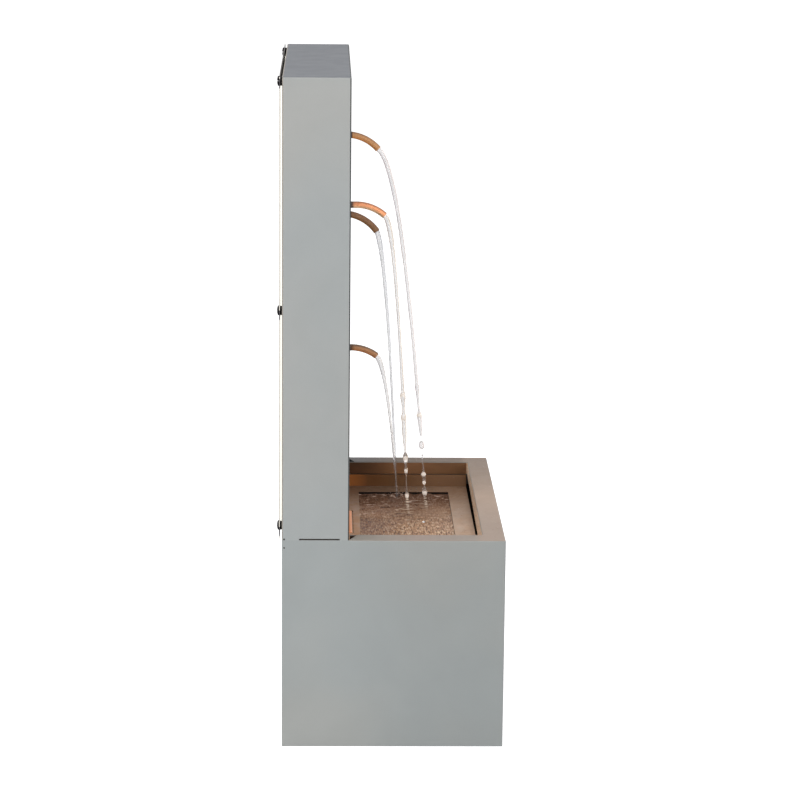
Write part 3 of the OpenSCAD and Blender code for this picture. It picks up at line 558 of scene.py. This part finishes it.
BLACK = linear(22, 22, 24)
looks = {
    "basin_shell": basin_material(),
    "basin_floor": powder_coat("floor_coat", linear(120, 112, 102)).mat,
    "tray_ledges": powder_coat("ledge_coat", linear(88, 72, 58)).mat,
    "tower_shell": tower_material(),
    "rear_panel": panel_material(),
    "panel_screws": black_screw(),
    "panel_spacers": rubber("spacer_rubber", BLACK),
    "panel_seals": foam("seal_foam", linear(254, 252, 243), 1.1),
    "clinch_nuts": metal("zinc", linear(190, 190, 184), 0.3, tarnish=linear(140, 138, 130)),
    "splash_tray": tray_material(),
    "spout_grommets": rubber("grommet_rubber", linear(30, 24, 22)),
    "light_housing": moulded("lamp_plastic", linear(158, 126, 98), 0.5),
    "light_leds": glowing("led_strip", linear(235, 215, 150), linear(255, 190, 120), 1.2),
    "light_lens": glowing("lens", linear(214, 148, 108), linear(255, 164, 104), 0.22),
    "light_screws": metal("stainless", linear(185, 185, 185), 0.3),
    "manifold": moulded("pipe_plastic", linear(225, 226, 222)),
    "manifold_clips": moulded("clip_plastic", linear(205, 206, 203)),
    "branch_hoses": vinyl("branch_vinyl"),
    "riser_hose": vinyl("riser_vinyl"),
    "hose_clamps": metal("clamp_steel", linear(180, 180, 180), 0.28),
    "pump_housing": moulded("pump_plastic", linear(34, 35, 38)),
    "volute_cover": moulded("cover_plastic", linear(42, 43, 46)),
    "pump_strainer": moulded("strainer_plastic", linear(38, 39, 42)),
    "pump_rotor": moulded("rotor_plastic", linear(196, 196, 190), 0.35),
    "rotor_shaft": moulded("ceramic", linear(238, 237, 232), 0.2, 600),
    "shaft_bushes": rubber("bush_rubber", BLACK),
    "flow_dial": moulded("dial_plastic", linear(92, 96, 100)),
    "suction_feet": rubber("foot_rubber", linear(28, 28, 30)),
    "cord_grommet": rubber("lead_grommet_rubber", BLACK),
}

# The spouts' copper: side, underside, top, root and how far the root's colour reaches, and how
# metallic it reads. Each spout is painted with its own light and shade
COPPERS = (
    ((220, 164, 116), (238, 162, 98), (168, 128, 100), (90, 60, 46), 5 * MM, 0.25),
    ((255, 180, 132), (255, 212, 168), (186, 130, 102), (96, 80, 74), 8.5 * MM, 0.7),
    ((160, 122, 94), (168, 120, 78), (150, 120, 100), (136, 102, 80), 5 * MM, 0.25),
    ((202, 148, 108), (226, 154, 104), (138, 114, 96), (112, 84, 68), 9.5 * MM, 0.25),
)
for number, (*colors, reach, metallic) in enumerate(COPPERS, 1):
    colors = [linear(*color) for color in colors]
    looks[f"spout_{number}"] = copper(f"copper_{number}", *colors, reach, metallic)

for name, mat in looks.items():
    mesh = nodes[name].data
    mesh.materials.clear()
    mesh.materials.append(mat)

# Each jet's water: its colour away from the tower and towards it, as painted light and shade, and the
# heights of its beads, painted as highlights
STREAMS = (
    stream_water("jet_1_water", linear(252, 238, 232), linear(206, 200, 206), (315, 239, 228, 215)),
    stream_water("jet_2_water", linear(254, 236, 216), linear(208, 201, 204), (343, 313, 262, 246, 214)),
    stream_water("jet_3_water", linear(236, 236, 240), linear(184, 184, 190), ()),
    stream_water("jet_4_water", linear(244, 236, 230), linear(188, 186, 192), ()),
)
DROPS = clear_water("drop_water", (0.97, 0.96, 0.95, 1), 0.02)


# ------------------------------------------------------------------ meshes


def piece(name, verts, faces, mat, body=None):
    """A smooth piece in the row frame. With a body it rides on it; without, it is left loose."""
    mesh = bpy.data.meshes.new(name)
    mesh.from_pydata(verts, [], faces)
    mesh.validate()
    mesh.polygons.foreach_set("use_smooth", [True] * len(mesh.polygons))
    mesh.materials.append(mat)
    obj = bpy.data.objects.new(name, mesh)
    scene.collection.objects.link(obj)
    if body:
        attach(obj, body)
    return obj


def add_rings(verts, faces, rings):
    """A closed skin over rings of equal size: each end is capped with one face."""
    count = len(rings[0])
    start = len(verts)
    for ring in rings:
        verts.extend(ring)
    for i in range(len(rings) - 1):
        a, b = start + i * count, start + (i + 1) * count
        for j in range(count):
            k = (j + 1) % count
            faces.append((a + j, a + k, b + k, b + j))
    faces.append(tuple(start + j for j in reversed(range(count))))
    last = start + (len(rings) - 1) * count
    faces.append(tuple(last + j for j in range(count)))


def mouth(spout):
    """Middle of a spout's mouth."""
    tail, end = math.radians(spout.tail), math.radians(spout.end)
    lead = spout.lead * MM
    y = TOWER_Y - lead * math.cos(tail) - BEND_R * (math.sin(end) - math.sin(tail))
    z = spout.height * MM - lead * math.sin(tail) - BEND_R * (math.cos(tail) - math.cos(end))
    return Vector((spout.x * MM, y, z))


def fall(spout):
    """The path of a jet: returns place(t) and time(z), the time at which it passes a height."""
    start = mouth(spout)
    down = spout.speed * math.tan(math.radians(spout.slope))

    def place(t):
        return start + Vector((0, -spout.speed * t, -down * t - GRAVITY / 2 * t * t))

    def time(z):
        return (-down + math.sqrt(max(0.0, down * down + 2 * GRAVITY * (start.z - z)))) / GRAVITY

    return place, time


# A jet starts this many seconds of its path inside its spout, with this many rings in there
INSIDE_TIME = 0.012
INSIDE_RINGS = 4
JET_SIDES = 16
JET_RING_GAP = 0.0011
JET_MIN_RINGS = 8
# The path's direction is taken over this many seconds
GLANCE = 0.0005
# No end is rounded as if the water were thinner than this
THINNEST = 0.2 * MM
# A point of each jet is found this far below its spout's mouth
BLEND_FALL = 70 * MM


def radius_at(points, z):
    """Radius at a height, from a list of (height, radius) that runs downwards."""
    if z >= points[0][0]:
        return points[0][1]
    for (z0, r0), (z1, r1) in zip(points, points[1:]):
        if z >= z1:
            f = (z0 - z) / (z0 - z1)
            return r0 + (r1 - r0) * f * f * (3 - 2 * f)
    return points[-1][1]


def rounded(distance, r):
    """The factor that rounds off a tube of radius r at this distance from its end."""
    reach = min(1, distance / max(r, THINNEST))
    return math.sqrt(max(0.01, 1 - (1 - reach) ** 2))


def jet(verts, faces, spout, points, rng, from_mouth):
    """An unbroken stretch of a jet. Its points give its radius by height, both in mm."""
    place, time = fall(spout)
    t0 = -INSIDE_TIME if from_mouth else time(points[0][0] * MM)
    top, low = place(t0), place(time(points[-1][0] * MM))
    ends = [low] if from_mouth else [top, low]
    count = max(JET_MIN_RINGS, int((low - top).length / JET_RING_GAP))
    phase = rng.uniform(0, 6.3)
    side = Vector((1, 0, 0))
    rings = []
    for i in range(count + 1):
        f = i / count
        t = time(top.z + (low.z - top.z) * f)
        if from_mouth and i < INSIDE_RINGS:
            t = t0 * (1 - i / INSIDE_RINGS)
        here, after = place(t), place(t + GLANCE)
        over = (after - here).normalized().cross(side).normalized()
        r = radius_at(points, here.z * 1000) * MM
        for factor in [rounded((here - end).length, r) for end in ends]:
            r *= factor
        # the section is a little wider than deep, and that turns slowly on the way down
        turn = phase + here.z * 14
        ring = []
        for j in range(JET_SIDES):
            a = 2 * math.pi * j / JET_SIDES
            k = 1 + 0.07 * math.cos(2 * (a - turn)) + 0.03 * math.cos(3 * (a + turn))
            ring.append(here + side * (math.cos(a) * r * k) + over * (math.sin(a) * r * k))
        rings.append(ring)
    add_rings(verts, faces, rings)


DROP_SIDES = 10
DROP_STEPS = 8


def drop(verts, faces, centre, r, rng):
    """A falling drop: an egg, a little taller than wide, that leans to one side."""
    lean = rng.uniform(-0.3, 0.3)
    rings = []
    for i in range(DROP_STEPS + 1):
        a = math.pi * (i / DROP_STEPS)
        z = math.cos(a) * r * 1.1
        w = max(math.sin(a) * r, 0.02 * r)
        ring = []
        for j in range(DROP_SIDES):
            b = 2 * math.pi * j / DROP_SIDES
            k = 1 + 0.08 * math.sin(2 * b + lean * 9)
            aside = Vector((math.cos(b) * w * k + lean * 0.2 * z, math.sin(b) * w * k, z))
            ring.append(centre + aside)
        rings.append(ring)
    add_rings(verts, faces, list(reversed(rings)))


# Each jet as a list of unbroken stretches, and each stretch as (height, radius) in mm: the jets
# thin as they speed up, swell into beads and, on the longest fall, break
JETS = [
    [
        [(642, 3.1), (612, 3.2), (593, 3.0), (572, 2.5), (522, 2.4), (504, 1.9), (473, 2.0),
         (449, 2.3), (424, 2.1), (399, 2.1), (375, 2.3), (356, 2.1), (349, 3.0), (344, 2.2),
         (338, 1.9), (322, 1.5), (318, 2.0), (315, 3.6), (312, 2.9), (309, 2.7), (301, 2.2),
         (292, 1.5), (288, 1.2)],
        [(282, 2.6), (276, 3.6), (271, 2.6)],
        [(265, 1.0), (260, 0.8), (252, 0.9), (243, 1.3), (239, 3.0), (237, 2.0), (234, 1.5),
         (231, 1.9), (228, 2.0), (226, 1.0), (222, 0.9), (220, 2.6), (216, 3.0), (213, 2.4),
         (210, 1.0)],
    ],
    [
        [(558, 3.1), (541, 2.9), (524, 2.3), (498, 2.0), (449, 2.0), (399, 2.1), (375, 2.2),
         (350, 2.1), (346, 2.4), (343, 3.6), (339, 3.2), (333, 2.2), (328, 2.0), (319, 2.2),
         (316, 3.1), (313, 3.6), (311, 2.9), (306, 2.6), (302, 2.5), (300, 2.9), (296, 2.7),
         (287, 2.3), (276, 1.7), (270, 1.2), (266, 2.8), (264, 3.2), (261, 2.6), (256, 1.8),
         (252, 1.6), (248, 2.2), (244, 1.9), (240, 1.1), (233, 1.0), (223, 1.1), (220, 1.6),
         (216, 2.7), (213, 2.4), (210, 1.5)],
    ],
    [
        [(538, 3.1), (531, 3.0), (522, 2.6), (498, 2.1), (473, 2.1), (449, 1.9), (424, 2.0),
         (399, 1.8), (375, 1.7), (350, 1.7), (325, 1.5), (301, 1.3), (282, 1.4), (264, 1.5),
         (245, 1.1), (221, 0.9), (210, 0.8)],
    ],
    [
        [(387, 3.1), (378, 2.8), (366, 2.3), (356, 2.0), (338, 1.8), (319, 1.6), (301, 1.4),
         (282, 1.5), (264, 1.6), (245, 1.1), (221, 0.9), (210, 0.8)],
    ],
]


def build_jets():
    """A jet for each spout, which starts at the spout's mouth. Returns where the jets land."""
    landings = []
    for index, (spout, stretches) in enumerate(zip(SPOUTS, JETS)):
        rng = random.Random(100 + index)
        verts, faces = [], []
        for points in stretches:
            jet(verts, faces, spout, points, rng, points is stretches[0])
        obj = piece(f"jet_{index + 1}", verts, faces, STREAMS[index])
        place, time = fall(spout)
        start = mouth(spout)
        end = place(time(start.z - BLEND_FALL))
        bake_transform(obj)
        landings.append(place(time(WATER_Z)))
    return landings


landings = build_jets()
# where a stray drop has struck the water
STRAY = Vector((9 * MM, -41.3 * MM, 0))


def pool_height(x, y):
    """Height of the pool's surface over its level: a swell, a chop, and what each landing does."""
    swell = 0.0004 * noise.noise(Vector((x * 45, y * 80, 1.3)))
    chop = 0.0003 * noise.noise(Vector((x * 110, y * 200, 5.1)))
    z = swell + chop
    for n, land in enumerate(landings + [STRAY]):
        d = math.hypot(x - land.x, y - land.y)
        # rings that die away, a crater, and the raised edge round it
        z += 0.0009 * math.exp(-d / 0.016) * math.cos(d * 2 * math.pi / 0.011 + n)
        z -= 0.0024 * math.exp(-((d / 0.004) ** 2))
        z += 0.0014 * math.exp(-(((d - 0.0085) / 0.002) ** 2))
    return z


POOL_CELLS = (200, 150)
POOL_FLOOR = 2.2 * MM


def build_pool():
    """The water in the basin, as a closed body with a rippled top."""
    x0, x1 = -HALF_W + 3.2 * MM, HALF_W - 3.2 * MM
    y0, y1 = FRONT_Y + 1.8 * MM, BACK_Y - 1.8 * MM
    nx, ny = POOL_CELLS
    verts, faces = [], []
    for j in range(ny + 1):
        y = y0 + (y1 - y0) * j / ny
        for i in range(nx + 1):
            x = x0 + (x1 - x0) * i / nx
            verts.append((x, y, WATER_Z + pool_height(x, y)))
    row = nx + 1
    for j in range(ny):
        for i in range(nx):
            a = j * row + i
            faces.append((a, a + 1, a + row + 1, a + row))
    edge = (
        list(range(row))
        + [j * row + nx for j in range(1, ny + 1)]
        + [ny * row + i for i in range(nx - 1, -1, -1)]
        + [j * row for j in range(ny - 1, 0, -1)]
    )
    low = len(verts)
    count = len(edge)
    verts.extend([(verts[index][0], verts[index][1], POOL_FLOOR) for index in edge])
    for i in range(count):
        k = (i + 1) % count
        faces.append((edge[i], low + i, low + k, edge[k]))
    faces.append(tuple(low + i for i in reversed(range(count))))
    piece("pool", verts, faces, pool_water("pool_water", landings), "stand")


build_pool()

BEAD_SIDES = 10
# A bead's rings: how far each is lifted and how wide it is, as shares of its height and radius
BEAD_RINGS = ((-0.15, 0.9), (0.0, 1.0), (0.35, 0.93), (0.7, 0.72), (0.93, 0.4), (1.0, 0.08))


def bead(verts, faces, centre, normal, r, height, rng):
    """A water bead sitting on a surface: a flattened cap with an uneven outline."""
    normal = Vector(normal)
    u = normal.orthogonal().normalized()
    v = normal.cross(u)
    lobes = [rng.uniform(-0.12, 0.12) for _ in range(3)]
    rings = []
    for lift, wide in BEAD_RINGS:
        ring = []
        for j in range(BEAD_SIDES):
            a = 2 * math.pi * j / BEAD_SIDES
            k = 1 + sum(m * math.cos((n + 1) * a + n) for n, m in enumerate(lobes))
            out = (u * math.cos(a) + v * math.sin(a)) * (r * wide * k)
            ring.append(Vector(centre) + out + normal * (height * lift))
        rings.append(ring)
    add_rings(verts, faces, rings)


def build_rim_beads():
    """Beads on the basin's rim and lips. Returns the random source, for the tray's beads."""
    rng = random.Random(7)
    verts, faces = [], []
    # on the front flange
    for _ in range(150):
        x = rng.uniform(-0.195, 0.195)
        y = rng.uniform(FRONT_Y + 3 * MM, OPEN_FRONT_Y - 4 * MM)
        r = rng.choice((0.35, 0.5, 0.5, 0.7, 0.9, 1.4, 1.9)) * MM * rng.uniform(0.8, 1.2)
        bead(verts, faces, (x, y, RIM_Z), UP, r, r * 0.5, rng)
    # on the side flanges
    for _ in range(45):
        side = rng.choice((-1, 1))
        x = side * rng.uniform(OPEN_X + 3 * MM, HALF_W - 3 * MM)
        y = rng.uniform(OPEN_FRONT_Y, 20 * MM)
        r = rng.choice((0.35, 0.5, 0.8)) * MM
        bead(verts, faces, (x, y, RIM_Z), UP, r, r * 0.5, rng)
    # on the front lip
    for _ in range(190):
        x = rng.uniform(-0.172, 0.172)
        z = rng.uniform(RIM_Z - 20 * MM, RIM_Z - 2 * MM)
        r = rng.choice((0.3, 0.4, 0.6, 0.9, 1.2)) * MM
        bead(verts, faces, (x, OPEN_FRONT_Y, z), (0, 1, 0), r, r * 0.6, rng)
    # on the side lips
    for _ in range(40):
        side = rng.choice((-1, 1, 1))
        y = rng.uniform(OPEN_FRONT_Y + 5 * MM, 20 * MM)
        z = rng.uniform(RIM_Z - 14 * MM, RIM_Z - 2 * MM)
        r = rng.choice((0.3, 0.45, 0.7)) * MM
        bead(verts, faces, (side * OPEN_X, y, z), (-side, 0, 0), r, r * 0.6, rng)
    piece("rim_beads", verts, faces, DROPS, "stand")
    return rng


def build_tray_beads(rng):
    """Beads on the tray, which carries them when it is lifted."""
    verts, faces = [], []
    # on the deck, in front of the window and beside it
    for _ in range(150):
        x = rng.uniform(-0.17, 0.17)
        y = rng.uniform(TRAY_LOW.y + 3 * MM, -80 * MM)
        r = rng.choice((0.35, 0.5, 0.8, 1.2, 1.6)) * MM
        bead(verts, faces, (x, y, TRAY_TOP), UP, r, r * 0.45, rng)
    for _ in range(60):
        x = rng.choice((-1, 1, 1)) * rng.uniform(0.152, 0.172)
        y = rng.uniform(-80 * MM, 30 * MM)
        r = rng.choice((0.35, 0.5, 0.8, 1.1)) * MM
        bead(verts, faces, (x, y, TRAY_TOP), UP, r, r * 0.45, rng)
    # on the side upstands
    for _ in range(36):
        side = rng.choice((-1, 1, 1))
        y = rng.uniform(-90 * MM, 0.0)
        z = rng.uniform(TRAY_TOP + 1.5 * MM, TRAY_HIGH.z - 1 * MM)
        r = rng.choice((0.3, 0.5, 0.7, 1.0)) * MM
        place = (side * (TRAY_HIGH.x - TRAY_WALL), y, z)
        bead(verts, faces, place, (-side, 0, 0), r, r * 0.6, rng)
    piece("tray_beads", verts, faces, DROPS, "tray")


build_tray_beads(build_rim_beads())


def build_spray():
    """Small drops thrown up round each landing, and a bubble in the stray drop's ring."""
    rng = random.Random(21)
    verts, faces = [], []
    for land in landings:
        for _ in range(9):
            a = rng.uniform(0, 2 * math.pi)
            d = rng.uniform(3, 16) * MM
            lift = rng.uniform(1.5, 11) * MM
            centre = Vector((land.x + d * math.cos(a), land.y + d * math.sin(a), WATER_Z + lift))
            drop(verts, faces, centre, rng.uniform(0.3, 0.8) * MM, rng)
    bead(verts, faces, (STRAY.x, STRAY.y, WATER_Z), UP, 2.3 * MM, 1.8 * MM, rng)
    piece("spray", verts, faces, DROPS, "stand")


build_spray()


def build_weld_dabs():
    """Two tiny weld pits at the foot of the tower's back corner, on both sides."""
    rng = random.Random(5)
    verts, faces = [], []
    proud = 0.04 * MM
    for side in (-1, 1):
        for z, r in ((RIM_Z + 1 * MM, 1.2 * MM), (RIM_Z - 9 * MM, 1.0 * MM)):
            bead(verts, faces, (side * HALF_W, BACK_Y - 2.6 * MM, z), (side, 0, 0), r, proud, rng)
    mat = moulded("weld_pits", linear(52, 48, 46), 0.7)
    piece("weld_dabs", verts, faces, mat, "stand")


build_weld_dabs()


# ------------------------------------------------------------------ stage, lights, camera

BACKDROP_LIFT = 0.8
SKY_LIGHT = 0.40


def sees_backdrop(tree):
    """1 for camera, mirror and glass rays, and 0 for the light that falls on the object."""
    path = tree.nodes.new("ShaderNodeLightPath")
    sees = path.outputs["Is Camera Ray"]
    for ray in ("Is Glossy Ray", "Is Transmission Ray"):
        either = tree.nodes.new("ShaderNodeMath")
        either.operation = "MAXIMUM"
        tree.links.new(sees, either.inputs[0])
        tree.links.new(path.outputs[ray], either.inputs[1])
        sees = either.outputs[0]
    return sees


def build_floor():
    """A white floor that the camera sees as lit, and that throws little light on the object."""
    bpy.ops.mesh.primitive_plane_add(size=90, location=(0, 0, 0))
    floor = bpy.context.object
    floor.name = "stage_floor"
    mat = bpy.data.materials.new("stage_floor")
    mat.use_nodes = True
    tree = mat.node_tree
    shader = tree.nodes["Principled BSDF"]
    shader.inputs["Base Color"].default_value = (0.86, 0.86, 0.86, 1)
    shader.inputs["Roughness"].default_value = 1.0
    shader.inputs["Specular IOR Level"].default_value = 0.0
    shader.inputs["Emission Color"].default_value = (1, 1, 1, 1)
    lift = tree.nodes.new("ShaderNodeMath")
    lift.operation = "MULTIPLY"
    lift.inputs[1].default_value = BACKDROP_LIFT
    tree.links.new(sees_backdrop(tree), lift.inputs[0])
    tree.links.new(lift.outputs[0], shader.inputs["Emission Strength"])
    floor.data.materials.append(mat)


def build_world():
    """White surroundings for the camera, and a softer sky for the light on the object."""
    world = bpy.data.worlds.new("studio")
    scene.world = world
    world.use_nodes = True
    tree = world.node_tree
    sky = tree.nodes["Background"]
    sky.inputs["Color"].default_value = (1, 1, 1, 1)
    span = tree.nodes.new("ShaderNodeMapRange")
    span.inputs["To Min"].default_value = SKY_LIGHT
    span.inputs["To Max"].default_value = 1.0
    tree.links.new(sees_backdrop(tree), span.inputs["Value"])
    tree.links.new(span.outputs[0], sky.inputs["Strength"])


def softbox(name, place, target, size, power):
    """A rectangular area light that faces its target."""
    light = bpy.data.lights.new(name, "AREA")
    light.shape = "RECTANGLE"
    light.size, light.size_y = size
    light.energy = power
    obj = bpy.data.objects.new(name, light)
    obj.location = place
    obj.rotation_euler = (Vector(target) - Vector(place)).to_track_quat("-Z", "Y").to_euler()
    scene.collection.objects.link(obj)


CAMERA_AT = (-3.2733, 0.0775, 1.0762)
# turned from square, tilted down, and rolled, in degrees
CAMERA_TURNS = (1.542, 12.278, 0.564)
CAMERA_LENS = 126.39


def build_camera():
    """A long lens, 12 degrees down, that looks almost square at the fountain's left side."""
    yaw, pitch, roll = (math.radians(a) for a in CAMERA_TURNS)
    flat = math.cos(pitch)
    ahead = Vector((math.cos(yaw) * flat, -math.sin(yaw) * flat, -math.sin(pitch)))
    right = Vector((-math.sin(yaw), -math.cos(yaw), 0))
    up = right.cross(ahead)
    right, up = (
        right * math.cos(roll) + up * math.sin(roll),
        up * math.cos(roll) - right * math.sin(roll),
    )
    data = bpy.data.cameras.new("photo_camera")
    data.sensor_width = 36
    data.lens = CAMERA_LENS
    data.clip_end = 200
    camera = bpy.data.objects.new("photo_camera", data)
    turn = Matrix((right, up, -ahead)).transposed().to_4x4()
    camera.matrix_world = Matrix.Translation(CAMERA_AT) @ turn
    scene.collection.objects.link(camera)
    scene.camera = camera


build_floor()
build_world()
softbox("key", (-2.8, 1.6, 1.7), (0, 0, 0.5), (2.4, 2.0), 28)
softbox("side_fill", (-2.5, -2.1, 1.4), (0, 0, 0.4), (2.2, 1.8), 22)
softbox("back_fill", (1.6, 3.0, 1.6), (0, 0, 0.4), (2.0, 1.8), 26)
softbox("overhead", (-0.9, 0.35, 3.0), (0, 0, 0.2), (2.6, 2.6), 30)
build_camera()
scene.view_settings.view_transform = "Standard"
